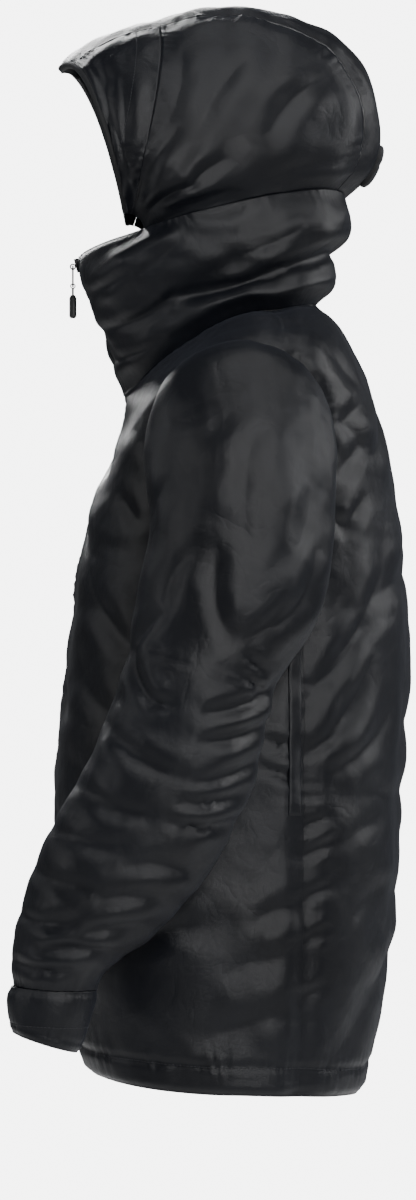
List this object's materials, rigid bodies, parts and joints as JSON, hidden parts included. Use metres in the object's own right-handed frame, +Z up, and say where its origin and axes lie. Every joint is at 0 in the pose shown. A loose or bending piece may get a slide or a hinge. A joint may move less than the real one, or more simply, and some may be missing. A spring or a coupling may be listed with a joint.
{
  "type": "hooded padded parka",
  "caption": "Hooded, padded hip-length parka with a tall zipped collar, held in the hollow form and pose it has when worn.",
  "frame": {"origin": "middle of the neck, about level with the tops of the shoulders, where the wearer holds the parka up", "axes": "+Z up; the wearer faces -Y; +X is the wearer's left"},
  "size_m": [0.6367, 0.3681, 1.0214],
  "materials": {
    "shell": "coated nylon, soft sheen",
    "trim": "matt",
    "zip_metal": "satin",
    "moulded": "satin"
  },
  "bodies": {
    "parka": {"front_left": "shell", "front_right": "shell", "back": "shell", "sleeve_left": "shell", "sleeve_right": "shell", "cuff_left": "shell", "cuff_right": "shell", "collar_left": "shell", "collar_right": "shell", "hood_side_left": "shell", "hood_side_right": "shell", "hood_brim_left": "shell", "hood_brim_right": "shell", "hood_crown": "shell", "hood_tab": "trim", "pocket_welt_left": "trim", "pocket_welt_right": "trim", "zip_tape": "trim", "zip_slider": "zip_metal"},
    "pull_tab": {"zip_pull_tab": "zip_metal"},
    "pull_end": {"zip_pull_end": "moulded"}
  },
  "joints": [
    {"name": "pull_tab_swing", "type": "hinge", "parent": "parka", "child": "pull_tab", "pos_m": [0, -0.15398, 0.07409], "axis": [1, 0, 0], "range_deg": [-150, 12]},
    {"name": "pull_end_swing", "type": "hinge", "parent": "pull_tab", "child": "pull_end", "pos_m": [0, -0.15398, 0.05569], "axis": [1, 0, 0], "range_deg": [-70, 10]}
  ]
}
